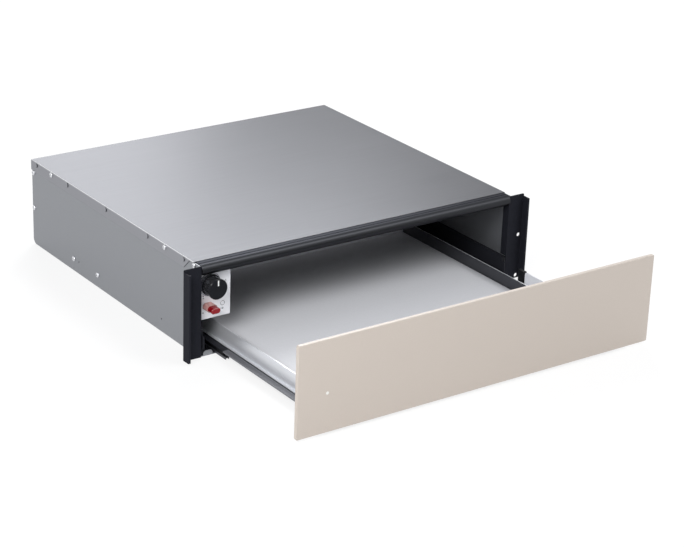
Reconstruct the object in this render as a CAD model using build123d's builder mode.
"""Built-in warming drawer: a sheet steel casing with a pull-out heated tray behind a flush front panel.

Millimetres. X runs along the front, +Y runs from the front to the back, +Z is up. The origin is the
middle of the casing's underside. The drawer is stored partly pulled out.
"""
from build123d import *
from math import cos, radians, sin
import os

os.makedirs("parts", exist_ok=True)

# Driving dimensions
panel_overhang = 27.5
casing_depth = 490.0
casing_height = 136.0
sheet = 1.0
panel_width = 595.0
panel_height = 131.0
panel_thickness = 5.0
panel_lift = 3.3
bracket_sheet = 1.6
lip_depth = 14.0
closed_gap = 1.0
rest_extension = 260.0
tray_side_gap = 40.0
tray_back_gap = 25.0
tray_sheet = 1.2
tray_bottom = 11.0
tray_top = 36.0
baffle_gap = 6.0
rail_stand = 4.0
rail_sheet = 1.2
running_gap = 0.3
bearing_gap = 0.05
cut_overrun = 2.0

# Shared places
half_casing = panel_width / 2 - panel_overhang
front = -casing_depth / 2
back = casing_depth / 2
side_outer = half_casing - sheet
side_inner = side_outer - sheet
cover_under = casing_height - sheet
base_top = sheet
half_tray = side_inner - tray_side_gap
rail_web = side_inner - rail_stand
baffle_low = tray_top + baffle_gap
fan_height = (baffle_low + cover_under) / 2
panel_back = front - lip_depth - closed_gap - rest_extension
panel_front = panel_back - panel_thickness
carrier_back = panel_back + tray_sheet
tray_back_face = back - tray_back_gap - rest_extension
tray_length = tray_back_face - carrier_back
sides = (("left", -1), ("right", 1))


def block(x_span, y_span, z_span, mode=Mode.ADD):
    """A rectangular block or cut between three pairs of limits, in any order."""
    with Locations((sum(x_span) / 2, sum(y_span) / 2, sum(z_span) / 2)):
        Box(abs(x_span[1] - x_span[0]), abs(y_span[1] - y_span[0]), abs(z_span[1] - z_span[0]), mode=mode)


def folded_sheet(plane, path, thickness, length):
    """Sheet metal folded along a centre line, drawn on a plane and drawn out along its normal."""
    with BuildSketch(plane) as section:
        with BuildLine() as centre_line:
            Polyline(*path)
        trace(centre_line.line, line_width=thickness)
    extrude(section.sketch, amount=length)


def looking_right(x, y, z):
    """A plane that faces +X, with its own x along Y, for round things that point sideways."""
    return Plane((x, y, z), x_dir=(0, 1, 0), z_dir=(1, 0, 0))


def looking_forward(x, y, z):
    """A plane that faces the user, with its own x along X, for round things that point forward."""
    return Plane((x, y, z), x_dir=(1, 0, 0), z_dir=(0, -1, 0))


def save(name, builder):
    """Label a finished piece and write it to its own file."""
    builder.part.label = name
    export_step(builder.part, f"parts/{name}.step")


# Screw places: shares of the casing's depth behind its front face, or of its height
flange_height = 16.0
cover_screw_drop = 5.0
cover_screw_height = casing_height - cover_screw_drop
cover_screw_shares = (0.032, 0.188, 0.866)
rail_screw_height = 19.0
rail_screw_shares = (0.584, 0.733)
spare_hole_shares = (0.209, 0.701)
rear_screw_share = 0.434
rear_screw_gap = 4.3
rear_screw_inset = 6.0
screw_radius = 1.9
head_radius = 3.9
head_height = 2.2
head_bevel = 1.0
spare_hole_radius = 1.2

cover_screw_places = [(front + share * casing_depth, cover_screw_height) for share in cover_screw_shares]
rail_screw_places = [(front + share * casing_depth, rail_screw_height) for share in rail_screw_shares]
rear_screw_places = [
    (back - rear_screw_inset, rear_screw_share * casing_height),
    (back - rear_screw_inset, casing_height - flange_height - rear_screw_gap),
]

# Side panels
rear_corner = 9.0
side_front = front + bracket_sheet
side_back = back - sheet
for side_name, side in sides:
    with BuildPart() as side_panel:
        block((side * side_inner, side * side_outer), (side_front, side_back), (0, cover_under))
        lower_rear = side_panel.edges().filter_by(Axis.X).group_by(Axis.Z)[0].sort_by(Axis.Y)[-1]
        fillet(lower_rear, rear_corner)
        for y, z in cover_screw_places + rail_screw_places + rear_screw_places:
            with Locations(looking_right(side * side_inner, y, z)):
                Cylinder(screw_radius, 2 * cut_overrun, mode=Mode.SUBTRACT)
        for share in spare_hole_shares:
            with Locations(looking_right(side * side_inner, front + share * casing_depth, rail_screw_height)):
                Cylinder(spare_hole_radius, 2 * cut_overrun, mode=Mode.SUBTRACT)
    save(f"{side_name}_side_panel", side_panel)

# Base pan: low turned-up front edge with gaps for the runners, a rounded bend at the rear, side flanges
upstand_height = 6.5
upstand_inset = 6.0
upstand_round = 4.4
notch_tray_gap = 1.5
notch_web_gap = 17.0
pan_rear_height = 12.0
pan_flange_height = 8.0
vent_length = 46.0
vent_width = 4.0
vent_pitch = 12.0
vent_count = 9
vent_inset = 66.0
upstand_outer = side_inner - upstand_inset
runner_notch = (half_tray + notch_tray_gap, rail_web - notch_web_gap)
with BuildPart() as base_pan:
    path = [
        (side_front + sheet / 2, base_top + upstand_height),
        (side_front + sheet / 2, sheet / 2),
        (side_back - sheet / 2, sheet / 2),
        (side_back - sheet / 2, pan_rear_height),
    ]
    folded_sheet(Plane.YZ.offset(-side_inner), path, sheet, 2 * side_inner)
    along = base_pan.edges().filter_by(Axis.X)
    inner_bend = along.group_by(Axis.Z)[1].sort_by(Axis.Y)[-1]
    fillet(inner_bend, rear_corner - sheet)
    along = base_pan.edges().filter_by(Axis.X)
    outer_bend = along.group_by(Axis.Z)[0].sort_by(Axis.Y)[-1]
    fillet(outer_bend, rear_corner)
    upstand_y = (side_front - cut_overrun, side_front + sheet)
    upstand_z = (base_top, base_top + upstand_height + cut_overrun)
    for side_name, side in sides:
        block((side * runner_notch[0], side * runner_notch[1]), upstand_y, upstand_z, Mode.SUBTRACT)
        block((side * upstand_outer, side * (side_inner + cut_overrun)), upstand_y, upstand_z, Mode.SUBTRACT)
    upstand_tips = base_pan.edges().filter_by(Axis.Y).filter_by_position(Axis.Y, side_front, side_front + sheet)
    fillet(upstand_tips.group_by(Axis.Z)[-1], upstand_round)
    for side_name, side in sides:
        flange_y = (side_front + sheet, side_back - rear_corner)
        block((side * (side_inner - sheet), side * side_inner), flange_y, (base_top, pan_flange_height))
    with Locations((0, back - vent_inset, base_top)):
        with GridLocations(vent_pitch, 0, vent_count, 1):
            Box(vent_width, vent_length, 2 * cut_overrun, mode=Mode.SUBTRACT)
save("base_pan", base_pan)

# Back panel, folded forward at both ends and along its foot, with two groups of air slots
back_outer = back - sheet
back_inner = back_outer - sheet
return_depth = 12.0
air_slot_length = 30.0
air_slot_width = 3.0
air_slot_pitch = 7.0
air_slot_count = 11
air_slot_inset = 148.0
gland_inset = 72.0
gland_radius = 8.0
foot_inset = 22.0
gland_x = -side_inner + gland_inset
gland_height = fan_height
air_slot_offset = side_inner - air_slot_inset
back_middle = side_inner - sheet / 2
with BuildPart() as back_panel:
    return_front = back_inner - return_depth
    path = [
        (-back_middle, return_front),
        (-back_middle, back_outer - sheet / 2),
        (back_middle, back_outer - sheet / 2),
        (back_middle, return_front),
    ]
    folded_sheet(Plane.XY.offset(pan_rear_height), path, sheet, cover_under - pan_rear_height)
    foot_half = side_inner - foot_inset
    block((-foot_half, foot_half), (return_front, back_inner), (pan_rear_height, pan_rear_height + sheet))
    with Locations((-air_slot_offset, back_inner, fan_height), (air_slot_offset, back_inner, fan_height)):
        with GridLocations(air_slot_pitch, 0, air_slot_count, 1):
            Box(air_slot_width, 2 * cut_overrun, air_slot_length, mode=Mode.SUBTRACT)
    with Locations(looking_forward(gland_x, back_inner, gland_height)):
        Cylinder(gland_radius, 2 * cut_overrun, mode=Mode.SUBTRACT)
    for side_name, side in sides:
        for y, z in rear_screw_places:
            with Locations(looking_right(side * back_middle, y, z)):
                Cylinder(screw_radius, 2 * cut_overrun, mode=Mode.SUBTRACT)
save("back_panel", back_panel)

# Top cover, with side flanges cut off slantwise at the front and pressed half-moon catches
cover_setback = 16.0
cover_round = 1.2
flange_setback = 10.0
cover_front = front + cover_setback
flange_front_top = cover_front + flange_setback
flange_front_low = flange_front_top + flange_height - sheet
catch_radius = 3.6
catch_height = 1.0
catch_slit = 1.1
catch_shares = (0.087, 0.287, 0.529, 0.766, 0.965)
with BuildPart() as top_cover:
    flange_low = casing_height - flange_height
    path = [
        (-half_casing + sheet / 2, flange_low),
        (-half_casing + sheet / 2, casing_height - sheet / 2),
        (half_casing - sheet / 2, casing_height - sheet / 2),
        (half_casing - sheet / 2, flange_low),
    ]
    folded_sheet(Plane.XZ.offset(-back), path, sheet, back - cover_front)
    block((-side_outer, side_outer), (back - sheet, back), (flange_low, cover_under))
    top_outline = top_cover.faces().sort_by(Axis.Z)[-1].edges()
    fillet(top_outline.sort_by(Axis.Y)[1:], cover_round)
    for side_name, side in sides:
        with BuildSketch(Plane.YZ.offset(min(side * side_outer, side * half_casing))) as flange_end:
            with BuildLine():
                Polyline(
                    (cover_front - cut_overrun, cover_under),
                    (flange_front_top, cover_under),
                    (flange_front_low, flange_low),
                    (cover_front - cut_overrun, flange_low),
                    close=True,
                )
            make_face()
        extrude(flange_end.sketch, amount=sheet, mode=Mode.SUBTRACT)
        for y, z in cover_screw_places[1:]:
            with Locations(looking_right(side * side_outer, y, z)):
                Cylinder(screw_radius, 2 * cut_overrun, mode=Mode.SUBTRACT)
        for share in catch_shares:
            y = front + share * casing_depth
            catch_x = min(side * half_casing, side * (half_casing + catch_height))
            slit_x = min(side * side_outer, side * half_casing)
            with BuildSketch(Plane.YZ.offset(catch_x)) as catch:
                with Locations((y, cover_screw_height)):
                    Circle(catch_radius)
                    with Locations((catch_radius, 0)):
                        Rectangle(2 * catch_radius, 2 * catch_radius, mode=Mode.SUBTRACT)
            extrude(catch.sketch, amount=catch_height)
            with BuildSketch(Plane.YZ.offset(slit_x)) as slit:
                with Locations((y + catch_slit / 2, cover_screw_height)):
                    Rectangle(catch_slit, 2 * catch_radius)
            extrude(slit.sketch, amount=sheet, mode=Mode.SUBTRACT)
save("top_cover", top_cover)

# Front nose: a half-round bar with a groove in its top and a tongue that goes under the cover
nose_radius = 8.0
nose_drop = 0.5
nose_round_depth = 5.5
nose_depth = 12.0
tongue_lap = 14.0
tongue_sheet = 1.5
groove_depth = 0.9
groove_width = 1.4
groove_inset = 3.0
nose_back = front + nose_depth
groove_back = nose_back - groove_inset
tongue_back = cover_front + tongue_lap
nose_half = side_inner - bracket_sheet
nose_top = casing_height - nose_drop
with BuildPart() as front_nose:
    with BuildSketch(Plane.YZ.offset(-nose_half)) as nose_section:
        with BuildLine():
            round_y = front + nose_round_depth
            Polyline((round_y, nose_top - 2 * nose_radius), (nose_back, nose_top - 2 * nose_radius))
            Polyline(
                (nose_back, nose_top - 2 * nose_radius),
                (nose_back, cover_under - tongue_sheet),
                (tongue_back, cover_under - tongue_sheet),
                (tongue_back, cover_under),
                (cover_front, cover_under),
                (cover_front, nose_top),
                (round_y, nose_top),
            )
            ThreePointArc(
                (round_y, nose_top),
                (round_y - nose_radius, nose_top - nose_radius),
                (round_y, nose_top - 2 * nose_radius),
            )
        make_face()
        with Locations((groove_back - groove_width / 2, nose_top)):
            Rectangle(groove_width, 2 * groove_depth, mode=Mode.SUBTRACT)
    extrude(nose_section.sketch, amount=2 * nose_half)
save("front_nose", front_nose)

# Mounting brackets: a fixing face, a return inside the opening and a lip that reaches forward
bracket_reach = 24.0
bracket_drop = 1.5
return_reach = 13.0
return_low = 40.0
lip_low = 1.0
lip_drop = 3.5
lip_round = 3.0
hem_thickness = 3.2
hem_depth = 2.6
fixing_inset = 6.0
fixing_heights = (4.4, 70.0)
fixing_radius = 3.0
bracket_round = 1.5
bracket_outer = half_casing + bracket_reach
bracket_height = casing_height - bracket_drop
lip_high = bracket_height - lip_drop
fixing_x = bracket_outer - fixing_inset
return_middle = side_inner - bracket_sheet / 2
lip_middle = bracket_outer - bracket_sheet / 2
for side_name, side in sides:
    with BuildPart() as bracket:
        path = [
            (side * return_middle, front + return_reach),
            (side * return_middle, front + bracket_sheet / 2),
            (side * lip_middle, front + bracket_sheet / 2),
            (side * lip_middle, front - lip_depth),
        ]
        folded_sheet(Plane.XY, path, bracket_sheet, bracket_height)
        hem_x = (side * (bracket_outer - hem_thickness), side * bracket_outer)
        block(hem_x, (front - lip_depth, front - lip_depth + hem_depth), (0, bracket_height))
        hem_edges = bracket.edges().filter_by(Axis.Z).group_by(Axis.Y)[0]
        fillet(hem_edges, hem_depth / 2)
        return_cut = (side * (side_inner - bracket_sheet), side * side_inner)
        block(return_cut, (side_front, front + return_reach), (0, return_low), Mode.SUBTRACT)
        lip_cut = (side * (bracket_outer - hem_thickness - cut_overrun), side * (bracket_outer + cut_overrun))
        for low, high in ((0, lip_low), (lip_high, bracket_height)):
            block(lip_cut, (front - lip_depth, front), (low, high), Mode.SUBTRACT)
        with BuildSketch(Plane.YZ.offset(min(lip_cut))) as lip_corner:
            with Locations((front - lip_depth + lip_round / 2, lip_low + lip_round / 2)):
                Rectangle(lip_round, lip_round)
            with Locations((front - lip_depth + lip_round, lip_low + lip_round)):
                Circle(lip_round, mode=Mode.SUBTRACT)
        extrude(lip_corner.sketch, amount=hem_thickness + 2 * cut_overrun, mode=Mode.SUBTRACT)
        for height in fixing_heights:
            with Locations(looking_forward(side * fixing_x, front, height)):
                Cylinder(fixing_radius, 2 * cut_overrun, mode=Mode.SUBTRACT)
        face_corners = bracket.edges().filter_by(Axis.Y).group_by(Axis.X)
        face_end = face_corners[0] if side < 0 else face_corners[-1]
        fillet(face_end.sort_by(Axis.Y)[-2:], bracket_round)
    save(f"{side_name}_bracket", bracket)

# Control plate, with the box of sheet metal behind it
plate_inset = 12.0
plate_sheet = 1.2
plate_corner = 1.5
plate_drop = 11.0
plate_reach = 33.3
plate_foot = 18.9
knob_side = 19.6
knob_drop = 23.5
switch_side = 17.1
switch_drop = 31.8
bush_radius = 4.5
sleeve_length = 16.7
sleeve_height = 10.4
button_length = 14.6
button_height = 8.3
plate_front = front + plate_inset
plate_back = plate_front + plate_sheet
plate_left = -side_inner + bracket_sheet + running_gap
plate_high = cover_under - plate_drop
knob_x = plate_left + knob_side
knob_height = plate_high - knob_drop
switch_x = plate_left + switch_side
switch_height = knob_height - switch_drop
plate_right = knob_x + plate_reach
plate_low = switch_height - plate_foot
with BuildPart() as control_plate:
    block((plate_left, plate_right), (plate_front, plate_back), (plate_low, plate_high))
    fillet(control_plate.edges().filter_by(Axis.Y), plate_corner)
    with Locations(looking_forward(knob_x, plate_front, knob_height)):
        Cylinder(bush_radius + bearing_gap, 2 * cut_overrun, mode=Mode.SUBTRACT)
    with BuildSketch(looking_forward(switch_x, plate_back, switch_height)) as switch_hole:
        SlotOverall(button_length + 2 * running_gap, button_height + 2 * running_gap)
    extrude(switch_hole.sketch, amount=plate_sheet, mode=Mode.SUBTRACT)
save("control_plate", control_plate)

box_depth = 58.0
box_top = cover_under - tongue_sheet
with BuildPart() as control_box:
    box_x = (-side_inner, plate_right)
    box_y = (plate_back, plate_back + box_depth)
    block(box_x, box_y, (plate_low, box_top))
    inside_y = (plate_back - cut_overrun, plate_back + box_depth - sheet)
    inside_x = (-side_inner - cut_overrun, plate_right - sheet)
    block(inside_x, inside_y, (plate_low + sheet, box_top + cut_overrun), Mode.SUBTRACT)
save("control_box", control_box)

# Thermostat, with the knob, pointer and shaft that turn in it
thermostat_size = 32.0
thermostat_depth = 25.0
thermostat_round = 3.0
bush_reach = 1.6
shaft_radius = 3.0
bush_front = plate_front - bush_reach
with BuildPart() as thermostat_body:
    half_size = thermostat_size / 2
    body_x = (knob_x - half_size, knob_x + half_size)
    body_z = (knob_height - half_size, knob_height + half_size)
    block(body_x, (plate_back, plate_back + thermostat_depth), body_z)
    fillet(thermostat_body.edges().filter_by(Axis.Y), thermostat_round)
    with BuildSketch(looking_forward(knob_x, plate_back, knob_height)) as bush:
        Circle(bush_radius)
    extrude(bush.sketch, amount=plate_back - bush_front)
    with Locations(looking_forward(knob_x, bush_front, knob_height)):
        bore_depth = 2 * (plate_back - bush_front + thermostat_depth / 2)
        Cylinder(shaft_radius + bearing_gap, bore_depth, mode=Mode.SUBTRACT)
save("thermostat_body", thermostat_body)

knob_gap = 2.0
knob_length = 21.0
knob_skirt_radius = 15.4
knob_skirt = 3.4
knob_radius = 13.2
knob_cap_radius = 14.9
knob_cap = 3.2
knob_edge = 1.1
rib_count = 24
rib_width = 1.4
rib_height = 1.2
knob_bore_depth = 12.0
pointer_width = 1.9
pointer_length = 8.0
pointer_inset = 1.6
pointer_depth = 0.6
knob_back = plate_front - knob_gap
knob_front = knob_back - knob_length
with BuildPart() as thermostat_knob:
    with BuildSketch(looking_forward(knob_x, knob_back, knob_height)) as skirt:
        Circle(knob_skirt_radius)
    extrude(skirt.sketch, amount=knob_skirt)
    with BuildSketch(looking_forward(knob_x, knob_back - knob_skirt, knob_height)) as grip:
        Circle(knob_radius)
        with PolarLocations(knob_radius, rib_count):
            Rectangle(2 * rib_height, rib_width)
    extrude(grip.sketch, amount=knob_length - knob_skirt - knob_cap)
    with BuildSketch(looking_forward(knob_x, knob_front + knob_cap, knob_height)) as cap:
        Circle(knob_cap_radius)
    extrude(cap.sketch, amount=knob_cap)
    chamfer(thermostat_knob.faces().sort_by(Axis.Y)[0].edges(), knob_edge)
    with Locations(looking_forward(knob_x, knob_back, knob_height)):
        Cylinder(shaft_radius, 2 * knob_bore_depth, mode=Mode.SUBTRACT)
    pointer_low = knob_height + knob_cap_radius - pointer_inset - pointer_length
    pointer_z = (pointer_low, pointer_low + pointer_length)
    pointer_x = (knob_x - pointer_width / 2, knob_x + pointer_width / 2)
    block(pointer_x, (knob_front, knob_front + pointer_depth), pointer_z, Mode.SUBTRACT)
save("thermostat_knob", thermostat_knob)

with BuildPart() as knob_pointer:
    block(pointer_x, (knob_front, knob_front + pointer_depth), pointer_z)
save("knob_pointer", knob_pointer)

shaft_length = 22.0
with BuildPart() as thermostat_shaft:
    with BuildSketch(looking_forward(knob_x, knob_back - knob_bore_depth + shaft_length, knob_height)) as round_bar:
        Circle(shaft_radius)
    extrude(round_bar.sketch, amount=shaft_length)
save("thermostat_shaft", thermostat_shaft)

collar_radius = 17.4
collar_width = 1.4
collar_height = 0.8
with BuildPart() as knob_collar:
    with BuildSketch(looking_forward(knob_x, plate_front, knob_height)) as ring:
        Circle(collar_radius)
        Circle(collar_radius - collar_width, mode=Mode.SUBTRACT)
    extrude(ring.sketch, amount=collar_height)
save("knob_collar", knob_collar)

# Mains switch: a housing behind the plate, a clear sleeve and the red button that presses in
housing_depth = 24.0
housing_margin = 1.0
button_travel = 3.0
button_reach = 22.0
button_stem = 27.0
button_bevel = 0.9
sleeve_reach = 12.0
button_front = plate_front - button_reach
with BuildPart() as switch_housing:
    with BuildSketch(looking_forward(switch_x, plate_back + housing_depth, switch_height)) as housing_outline:
        Rectangle(sleeve_length - housing_margin, sleeve_height + housing_margin)
    extrude(housing_outline.sketch, amount=housing_depth)
    cavity_depth = button_front + button_stem + 2 * button_travel - plate_back
    with BuildSketch(looking_forward(switch_x, plate_back + cavity_depth, switch_height)) as cavity:
        SlotOverall(button_length + 2 * running_gap, button_height + 2 * running_gap)
    extrude(cavity.sketch, amount=cavity_depth, mode=Mode.SUBTRACT)
save("switch_housing", switch_housing)

with BuildPart() as switch_sleeve:
    with BuildSketch(looking_forward(switch_x, plate_front, switch_height)) as sleeve_outline:
        SlotOverall(sleeve_length, sleeve_height)
        SlotOverall(button_length + 2 * running_gap, button_height + 2 * running_gap, mode=Mode.SUBTRACT)
    extrude(sleeve_outline.sketch, amount=sleeve_reach)
save("switch_sleeve", switch_sleeve)

with BuildPart() as power_button:
    with BuildSketch(looking_forward(switch_x, button_front + button_stem, switch_height)) as button_outline:
        SlotOverall(button_length, button_height)
    extrude(button_outline.sketch, amount=button_stem)
    chamfer(power_button.faces().sort_by(Axis.Y)[0].edges(), button_bevel)
save("power_button", power_button)

# Rear baffle that parts the fan chamber from the drawer space
chamber_depth = 71.0
intake_rows = 7
intake_pitch = 9.0
intake_length = 54.0
intake_width = 4.0
outlet_inset = 93.0
outlet_count = 9
outlet_pitch = 11.0
outlet_length = 40.0
baffle_y = back_inner - chamber_depth
outlet_offset = side_inner - outlet_inset
with BuildPart() as rear_baffle:
    block((-side_inner, side_inner), (baffle_y, baffle_y + sheet), (baffle_low, cover_under))
    with BuildSketch(looking_forward(0, baffle_y + sheet, fan_height)) as air_holes:
        with GridLocations(0, intake_pitch, 1, intake_rows):
            Rectangle(intake_length, intake_width)
        with Locations((-outlet_offset, 0), (outlet_offset, 0)):
            with GridLocations(outlet_pitch, 0, outlet_count, 1):
                Rectangle(intake_width, outlet_length)
    extrude(air_holes.sketch, amount=sheet, mode=Mode.SUBTRACT)
save("rear_baffle", rear_baffle)

# Fan: motor on the back panel, and the blade wheel on its shaft
motor_radius = 25.0
motor_length = 34.0
motor_bevel = 2.0
motor_shaft_radius = 2.0
motor_shaft_length = 24.0
motor_front = back_inner - motor_length
foot_ear = 10.0
foot_sheet = 2.0
with BuildPart() as fan_motor:
    with BuildSketch(looking_forward(0, back_inner, fan_height)) as motor_feet:
        Circle(motor_radius)
        Rectangle(2 * (motor_radius + foot_ear), foot_ear)
    extrude(motor_feet.sketch, amount=foot_sheet)
    with BuildSketch(looking_forward(0, back_inner, fan_height)) as motor_round_outline:
        Circle(motor_radius)
    extrude(motor_round_outline.sketch, amount=motor_length)
    chamfer(fan_motor.faces().sort_by(Axis.Y)[0].edges(), motor_bevel)
    with Locations(looking_forward(0, motor_front, fan_height)):
        Cylinder(motor_shaft_radius + bearing_gap, motor_length, mode=Mode.SUBTRACT)
save("fan_motor", fan_motor)

wheel_gap = 10.0
wheel_depth = 18.0
wheel_plate = 1.2
hub_radius = 7.0
blade_sheet = 1.0
blade_count = 18
blade_inner = 24.0
blade_lean = 34.0
rim_width = 3.0
wheel_radius = (cover_under - baffle_low) / 2 - wheel_gap
wheel_back = motor_front - 2 * wheel_plate
with BuildPart() as fan_wheel:
    with BuildSketch(looking_forward(0, wheel_back, fan_height)) as wheel_disc:
        Circle(wheel_radius)
    extrude(wheel_disc.sketch, amount=wheel_plate)
    with BuildSketch(looking_forward(0, wheel_back - wheel_plate, fan_height)) as blades:
        blade_length = (wheel_radius - blade_inner) / cos(radians(blade_lean))
        with PolarLocations((wheel_radius + blade_inner) / 2, blade_count):
            Rectangle(blade_length, blade_sheet, rotation=blade_lean)
        Circle(hub_radius)
    extrude(blades.sketch, amount=wheel_depth - 2 * wheel_plate)
    with BuildSketch(looking_forward(0, wheel_back - wheel_depth + wheel_plate, fan_height)) as rim:
        Circle(wheel_radius)
        Circle(wheel_radius - rim_width, mode=Mode.SUBTRACT)
    extrude(rim.sketch, amount=wheel_plate)
    with Locations(looking_forward(0, wheel_back, fan_height)):
        Cylinder(motor_shaft_radius, 3 * wheel_depth, mode=Mode.SUBTRACT)
save("fan_wheel", fan_wheel)

with BuildPart() as fan_shaft:
    shaft_back = wheel_back - wheel_depth + motor_shaft_length + wheel_plate
    with BuildSketch(looking_forward(0, shaft_back, fan_height)) as shaft_outline:
        Circle(motor_shaft_radius)
    extrude(shaft_outline.sketch, amount=motor_shaft_length)
save("fan_shaft", fan_shaft)

# Heating element: one bent rod around the fan wheel, with both ends through the back panel
element_radius = 3.2
element_half_width = 104.0
element_drop = 5.0
element_rise = 2.5
element_tail = 12.0
element_bend = 11.0
element_y = motor_front - wheel_depth / 2
element_high = cover_under - element_drop
element_low = baffle_low + element_rise
with BuildPart() as heating_element:
    with BuildLine() as rod_path:
        FilletPolyline(
            (-element_tail, back_inner, element_low),
            (-element_tail, element_y, element_low),
            (-element_half_width, element_y, element_low),
            (-element_half_width, element_y, element_high),
            (element_half_width, element_y, element_high),
            (element_half_width, element_y, element_low),
            (element_tail, element_y, element_low),
            (element_tail, back_inner, element_low),
            radius=element_bend,
        )
    with BuildSketch(looking_forward(-element_tail, back_inner, element_low)):
        Circle(element_radius)
    sweep(path=rod_path.line)
save("heating_element", heating_element)

# Safety cut-out and mains connection inside the fan chamber
cutout_radius = 8.0
cutout_depth = 9.0
cutout_x = 78.0
cutout_rise = 18.0
cutout_height = baffle_low + cutout_rise
with BuildPart() as thermal_cutout:
    with BuildSketch(looking_forward(cutout_x, back_inner, cutout_height)) as cutout_outline:
        Circle(cutout_radius)
    extrude(cutout_outline.sketch, amount=cutout_depth)
save("thermal_cutout", thermal_cutout)

terminal_width = 44.0
terminal_depth = 20.0
terminal_height = 22.0
terminal_drop = 24.0
terminal_round = 1.5
with BuildPart() as terminal_block:
    terminal_x = (gland_x - terminal_width / 2, gland_x + terminal_width / 2)
    terminal_top = gland_height - terminal_drop + terminal_height / 2
    terminal_y = (back_inner - terminal_depth, back_inner)
    block(terminal_x, terminal_y, (terminal_top - terminal_height, terminal_top))
    fillet(terminal_block.edges().filter_by(Axis.Y), terminal_round)
save("terminal_block", terminal_block)

gland_rim_radius = 10.0
gland_nut_radius = 12.0
gland_nut = 2.5
gland_reach = 10.0
gland_bore = 4.0
with BuildPart() as cable_gland:
    with BuildSketch(looking_forward(gland_x, back, gland_height)) as gland_rim:
        Circle(gland_rim_radius)
    extrude(gland_rim.sketch, amount=back - back_outer)
    with BuildSketch(looking_forward(gland_x, back_outer, gland_height)) as gland_neck:
        Circle(gland_radius)
    extrude(gland_neck.sketch, amount=gland_reach)
    with BuildSketch(looking_forward(gland_x, back_inner, gland_height)) as nut_outline:
        RegularPolygon(gland_nut_radius, 6)
    extrude(nut_outline.sketch, amount=gland_nut)
    with Locations(looking_forward(gland_x, back_inner, gland_height)):
        Cylinder(gland_bore, 2 * gland_reach + 2 * cut_overrun, mode=Mode.SUBTRACT)
save("cable_gland", cable_gland)

# Runners: the fixed rail on the casing, the middle rail, and the drawer rail under the tray
rail_top = 38.0
rail_rear_gap = 17.0
outer_rib_gap = 16.0
inner_rib_gap = 28.8
guide_rib_height = 6.6
inner_rib_height = 3.3
tongue_reach = 5.0
tongue_low = 12.0
tongue_high = 31.0
boss_radius = 7.0
rail_front = side_front + sheet
rail_rear = back - rail_rear_gap
guide_rib_outer = rail_web - outer_rib_gap
guide_rib_inner = rail_web - inner_rib_gap
for side_name, side in sides:
    with BuildPart() as fixed_rail:
        web_middle = rail_web - rail_sheet / 2
        path = [
            (side * guide_rib_inner, base_top + inner_rib_height + rail_sheet),
            (side * guide_rib_inner, base_top + rail_sheet / 2),
            (side * web_middle, base_top + rail_sheet / 2),
            (side * web_middle, rail_top - rail_sheet / 2),
            (side * side_inner, rail_top - rail_sheet / 2),
        ]
        folded_sheet(Plane.XZ.offset(-rail_rear), path, rail_sheet, rail_rear - rail_front)
        rib_x = (side * (guide_rib_outer - rail_sheet / 2), side * (guide_rib_outer + rail_sheet / 2))
        rib_y = (rail_front + return_reach, rail_rear)
        block(rib_x, rib_y, (base_top + rail_sheet, base_top + rail_sheet + guide_rib_height))
        tongue_x = (side * (rail_web - rail_sheet), side * rail_web)
        block(tongue_x, (rail_front - tongue_reach, rail_front), (tongue_low, tongue_high))
        tongue_ends = fixed_rail.edges().filter_by(Axis.X).group_by(Axis.Y)[0]
        fillet(tongue_ends, rail_sheet)
        for y, z in rail_screw_places:
            with Locations(looking_right(side * (rail_web + side_inner) / 2, y, z)):
                Cylinder(boss_radius, side_inner - rail_web)
            with Locations(looking_right(side * rail_web, y, z)):
                Cylinder(screw_radius, 4 * (side_inner - rail_web), mode=Mode.SUBTRACT)
    save(f"{side_name}_fixed_rail", fixed_rail)

middle_share = 0.694
middle_setback = 102.0
middle_inner_gap = 25.4
middle_outer_gap = 19.2
middle_lift = 0.4
middle_leg = 2.4
prong_length = 3.0
middle_length = middle_share * casing_depth
middle_front = front + middle_setback - rest_extension / 2
middle_inner = rail_web - middle_inner_gap
middle_outer = rail_web - middle_outer_gap
middle_low = base_top + rail_sheet + middle_lift
middle_top = middle_low + rail_sheet + middle_leg
for side_name, side in sides:
    with BuildPart() as middle_rail:
        path = [
            (side * (middle_inner + rail_sheet / 2), middle_top),
            (side * (middle_inner + rail_sheet / 2), middle_low + rail_sheet / 2),
            (side * (middle_outer - rail_sheet / 2), middle_low + rail_sheet / 2),
            (side * (middle_outer - rail_sheet / 2), middle_top),
        ]
        folded_sheet(Plane.XZ.offset(-(middle_front + middle_length)), path, rail_sheet, middle_length)
        web_cut = (side * (middle_inner + rail_sheet), side * (middle_outer - rail_sheet))
        web_end = (middle_front - cut_overrun, middle_front + prong_length)
        block(web_cut, web_end, (middle_low, middle_low + rail_sheet), Mode.SUBTRACT)
    save(f"{side_name}_middle_rail", middle_rail)

guide_setback = 8.5
guide_length = 32.0
guide_bevel = 1.6
web_top = middle_low + rail_sheet
strip_under = tray_bottom - rail_sheet
guide_front = middle_front + guide_setback
for side_name, side in sides:
    with BuildPart() as rail_guide:
        guide_x = (side * (middle_inner + rail_sheet), side * (middle_outer - rail_sheet))
        guide_y = (guide_front, guide_front + guide_length)
        block(guide_x, guide_y, (web_top, strip_under - running_gap))
        lead_in = rail_guide.edges().filter_by(Axis.X).group_by(Axis.Z)[-1]
        chamfer(lead_in, guide_bevel)
    save(f"{side_name}_rail_guide", rail_guide)

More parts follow.
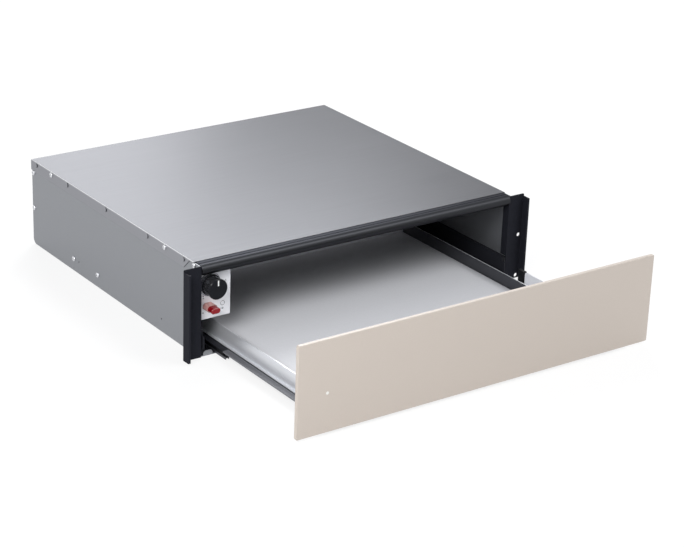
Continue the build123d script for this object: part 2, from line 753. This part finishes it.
cage_sheet = 1.0
cage_side = 0.3
cage_share = 0.735
cage_gap = 0.5
cage_end = 20.0
roller_count = 8
roller_radius = (strip_under - running_gap - web_top) / 2
roller_height = web_top + roller_radius
cage_length = cage_share * middle_length
cage_front = guide_front + guide_length + cage_gap
roller_pitch = (cage_length - 2 * cage_end) / (roller_count - 1)
for side_name, side in sides:
    with BuildPart() as roller_cage:
        cage_x = (side * (middle_inner + rail_sheet + cage_side), side * (middle_outer - rail_sheet - cage_side))
        cage_z = (roller_height - cage_sheet / 2, roller_height + cage_sheet / 2)
        block(cage_x, (cage_front, cage_front + cage_length), cage_z)
        cage_middle = side * (middle_inner + middle_outer) / 2
        roller_length = middle_outer - middle_inner - 2 * rail_sheet - 4 * cage_side
        for number in range(roller_count):
            roller_y = cage_front + cage_end + number * roller_pitch
            with Locations(looking_right(cage_middle, roller_y, roller_height)):
                Cylinder(roller_radius, roller_length)
    save(f"{side_name}_roller_cage", roller_cage)

drawer_rail_gap = 18.0
strip_inner_gap = 30.6
strip_outer_gap = 21.2
channel_depth = 3.6
shelf_width = 12.0
flange_width = 4.0
drawer_rail_length = tray_length - drawer_rail_gap
strip_inner = rail_web - strip_inner_gap
strip_outer = rail_web - strip_outer_gap
channel_low = tray_bottom - rail_sheet - channel_depth
shelf_inner = half_tray - shelf_width
flange_outer = half_tray + flange_width
for side_name, side in sides:
    with BuildPart() as drawer_rail:
        strip_middle = tray_bottom - rail_sheet / 2
        channel_left = strip_inner - 2 * rail_sheet + rail_sheet / 2
        channel_right = strip_inner + rail_sheet / 2
        path = [
            (side * shelf_inner, strip_middle),
            (side * channel_left, strip_middle),
            (side * channel_left, strip_middle - channel_depth),
            (side * channel_right, strip_middle - channel_depth),
            (side * channel_right, strip_middle),
            (side * strip_outer, strip_middle),
        ]
        rail_end = carrier_back + drawer_rail_length
        folded_sheet(Plane.XZ.offset(-rail_end), path, rail_sheet, drawer_rail_length)
    save(f"{side_name}_drawer_rail", drawer_rail)

# Grey strips folded over the front part of each drawer rail, from the front panel to near the casing
side_strip_lap = 8.0
side_strip_back = middle_front + side_strip_lap
side_strip_middle = tray_bottom + tray_sheet / 2
for side_name, side in sides:
    with BuildPart() as side_strip:
        path = [
            (side * (strip_inner + rail_sheet), side_strip_middle),
            (side * (strip_outer + tray_sheet / 2), side_strip_middle),
            (side * (strip_outer + tray_sheet / 2), strip_under),
        ]
        side_strip_length = side_strip_back - carrier_back
        folded_sheet(Plane.XZ.offset(-side_strip_back), path, tray_sheet, side_strip_length)
    save(f"{side_name}_side_strip", side_strip)

# Tray: raised floor, hemmed side walls with a foot flange, back wall and mat
floor_rise = 2.6
mat_thickness = 2.2
mat_margin = 0.5
mat_round = 0.8
hem = 2.4
hem_height = 1.6
front_tab = 10.0
tray_floor_low = tray_bottom + floor_rise
tray_floor_top = tray_floor_low + tray_sheet
wall_inner = half_tray - tray_sheet
mat_top = tray_floor_top + mat_thickness
for side_name, side in sides:
    with BuildPart() as tray_side:
        path = [
            (side * flange_outer, tray_bottom + tray_sheet / 2),
            (side * (half_tray - tray_sheet / 2), tray_bottom + tray_sheet / 2),
            (side * (half_tray - tray_sheet / 2), tray_top),
        ]
        folded_sheet(Plane.XZ.offset(-tray_back_face), path, tray_sheet, tray_length)
        hem_x = (side * (half_tray - hem), side * half_tray)
        block(hem_x, (carrier_back, tray_back_face), (tray_top - hem_height, tray_top))
        top_edges = tray_side.edges().filter_by(Axis.Y).group_by(Axis.Z)[-1]
        fillet(top_edges, hem_height / 3)
        tab_x = (side * (wall_inner - front_tab), side * wall_inner)
        block(tab_x, (carrier_back, carrier_back + tray_sheet), (mat_top + running_gap, tray_top - hem_height))
    save(f"{side_name}_tray_side", tray_side)

with BuildPart() as tray_floor:
    block((-wall_inner, wall_inner), (carrier_back, tray_back_face - tray_sheet), (tray_floor_low, tray_floor_top))
save("tray_floor", tray_floor)

with BuildPart() as tray_back:
    back_z = (tray_bottom, tray_top - hem_height)
    block((-wall_inner, wall_inner), (tray_back_face - tray_sheet, tray_back_face), back_z)
    hem_y = (tray_back_face - hem, tray_back_face)
    block((-half_tray + hem, half_tray - hem), hem_y, (tray_top - hem_height, tray_top))
save("tray_back", tray_back)

with BuildPart() as tray_mat:
    mat_x = wall_inner - mat_margin
    mat_y = (carrier_back + tray_sheet + mat_margin, tray_back_face - tray_sheet - mat_margin)
    block((-mat_x, mat_x), mat_y, (tray_floor_top, mat_top))
    fillet(tray_mat.faces().sort_by(Axis.Z)[-1].edges(), mat_round)
save("tray_mat", tray_mat)

# Front panel, its steel carrier and the small window for the switch light
panel_corner = 2.5
panel_edge = 0.8
window_side = 46.0
window_rise = 56.0
window_radius = 2.2
window_x = -panel_width / 2 + window_side
window_height = panel_lift + window_rise
panel_top = panel_lift + panel_height
with BuildPart() as front_panel:
    block((-panel_width / 2, panel_width / 2), (panel_front, panel_back), (panel_lift, panel_top))
    fillet(front_panel.edges().filter_by(Axis.Y), panel_corner)
    chamfer(front_panel.faces().sort_by(Axis.Y)[0].edges(), panel_edge)
    with Locations(looking_forward(window_x, panel_front, window_height)):
        Cylinder(window_radius, 4 * panel_thickness, mode=Mode.SUBTRACT)
save("front_panel", front_panel)

with BuildPart() as panel_window:
    with BuildSketch(looking_forward(window_x, panel_back, window_height)) as window_outline:
        Circle(window_radius)
    extrude(window_outline.sketch, amount=panel_thickness)
save("panel_window", panel_window)

carrier_inset = 6.0
carrier_half = side_inner - carrier_inset
carrier_low = channel_low - tray_sheet
carrier_high = 84.0
carrier_flange = 4.0
light_hole_radius = 4.0
with BuildPart() as panel_carrier:
    path = [
        (carrier_back + carrier_flange, carrier_low + tray_sheet / 2),
        (panel_back + tray_sheet / 2, carrier_low + tray_sheet / 2),
        (panel_back + tray_sheet / 2, carrier_high - tray_sheet / 2),
        (carrier_back + carrier_flange, carrier_high - tray_sheet / 2),
    ]
    folded_sheet(Plane.YZ.offset(-carrier_half), path, tray_sheet, 2 * carrier_half)
    with Locations(looking_forward(window_x, panel_back, window_height)):
        Cylinder(light_hole_radius, 4 * tray_sheet, mode=Mode.SUBTRACT)
save("panel_carrier", panel_carrier)

# Push latch on the right: an arm on the drawer, its striker, and the latch with its plunger
arm_inset = 18.0
arm_sheet = 1.6
arm_top = 41.0
arm_reach = 194.0
arm_x = side_inner - arm_inset
arm_low = tray_bottom + tray_sheet
arm_back = front + arm_reach - rest_extension
arm_foot_length = 78.0
arm_corner = 4.0
arm_tab = 12.0
with BuildPart() as latch_arm:
    block((arm_x - arm_sheet / 2, arm_x + arm_sheet / 2), (carrier_back, arm_back), (arm_low, arm_top))
    upper_rear = latch_arm.edges().filter_by(Axis.X).group_by(Axis.Y)[-1].sort_by(Axis.Z)[-1]
    fillet(upper_rear, arm_corner)
    foot_y = (carrier_back, carrier_back + arm_foot_length)
    block((half_tray, arm_x), foot_y, (arm_low, arm_low + tray_sheet))
    tab_z = (arm_low + tray_sheet, arm_top)
    block((arm_x - arm_tab, arm_x), (carrier_back, carrier_back + arm_sheet), tab_z)
save("latch_arm", latch_arm)

striker_length = 14.0
striker_width = 5.0
striker_low = 22.0
striker_round = 1.2
with BuildPart() as latch_striker:
    striker_x = (arm_x - striker_width / 2, arm_x + striker_width / 2)
    block(striker_x, (arm_back, arm_back + striker_length), (striker_low, arm_top))
    fillet(latch_striker.edges().filter_by(Axis.Z).group_by(Axis.Y)[-1], striker_round)
save("latch_striker", latch_striker)

plunger_radius = 4.0
plunger_travel = 8.0
plunger_length = 34.0
plunger_height = 31.0
latch_width = 14.0
latch_high = 43.0
latch_low = 19.0
latch_length = 62.0
latch_round = 2.0
striker_closed = arm_back + striker_length + rest_extension
plunger_tip = striker_closed + running_gap
latch_front = plunger_tip + plunger_travel + running_gap
latch_back = latch_front + latch_length
with BuildPart() as latch_body:
    block((arm_x - latch_width / 2, arm_x + latch_width / 2), (latch_front, latch_back), (latch_low, latch_high))
    fillet(latch_body.edges().filter_by(Axis.Y), latch_round)
    foot_x = (arm_x, side_inner)
    block(foot_x, (latch_front, latch_back), (rail_top + running_gap, latch_high - latch_round))
    bore_length = plunger_length + plunger_travel
    with BuildSketch(looking_forward(arm_x, latch_front + bore_length, plunger_height)) as plunger_bore:
        Circle(plunger_radius + bearing_gap)
    extrude(plunger_bore.sketch, amount=bore_length, mode=Mode.SUBTRACT)
save("latch_body", latch_body)

plunger_bevel = 1.2
with BuildPart() as latch_plunger:
    with BuildSketch(looking_forward(arm_x, plunger_tip + plunger_length, plunger_height)) as plunger_outline:
        Circle(plunger_radius)
    extrude(plunger_outline.sketch, amount=plunger_length)
    chamfer(latch_plunger.faces().sort_by(Axis.Y)[0].edges(), plunger_bevel)
save("latch_plunger", latch_plunger)


def pan_screw(plane, shank_length):
    """A pan head screw: the plane lies under the head and faces out of the work."""
    with BuildSketch(plane) as head:
        Circle(head_radius)
    extrude(head.sketch, amount=head_height)
    with BuildSketch(plane) as shank:
        Circle(screw_radius)
    extrude(shank.sketch, amount=-shank_length)


def outward(side, x, y, z):
    """A plane on a side of the casing that faces away from it."""
    return Plane((side * x, y, z), x_dir=(0, 1, 0), z_dir=(side, 0, 0))


# Screws: cover and nose, runners, back panel, and the panel carrier
with BuildPart() as cover_screws:
    for side_name, side in sides:
        for number, (y, z) in enumerate(cover_screw_places):
            head_seat = side_outer if number == 0 else half_casing
            pan_screw(outward(side, head_seat, y, z), head_seat - side_inner)
    chamfer(cover_screws.faces().group_by(Axis.X)[0].edges(), head_bevel)
    chamfer(cover_screws.faces().group_by(Axis.X)[-1].edges(), head_bevel)
save("cover_screws", cover_screws)

with BuildPart() as rail_screws:
    for side_name, side in sides:
        for y, z in rail_screw_places:
            pan_screw(outward(side, side_outer, y, z), side_outer - rail_web + rail_sheet)
    chamfer(rail_screws.faces().group_by(Axis.X)[0].edges(), head_bevel)
    chamfer(rail_screws.faces().group_by(Axis.X)[-1].edges(), head_bevel)
save("rail_screws", rail_screws)

with BuildPart() as rear_screws:
    for side_name, side in sides:
        for y, z in rear_screw_places:
            pan_screw(outward(side, side_outer, y, z), 2 * sheet)
    chamfer(rear_screws.faces().group_by(Axis.X)[0].edges(), head_bevel)
    chamfer(rear_screws.faces().group_by(Axis.X)[-1].edges(), head_bevel)
save("rear_screws", rear_screws)

carrier_screw_height = 27.0
carrier_screw_inset = 5.0
with BuildPart() as carrier_screws:
    for side_name, side in sides:
        screw_x = side * (wall_inner - carrier_screw_inset)
        seat = Plane((screw_x, carrier_back + tray_sheet, carrier_screw_height), x_dir=(1, 0, 0), z_dir=(0, 1, 0))
        with BuildSketch(seat) as head:
            Circle(head_radius)
        extrude(head.sketch, amount=head_height)
    chamfer(carrier_screws.faces().group_by(Axis.Y)[-1].edges(), head_bevel)
save("carrier_screws", carrier_screws)
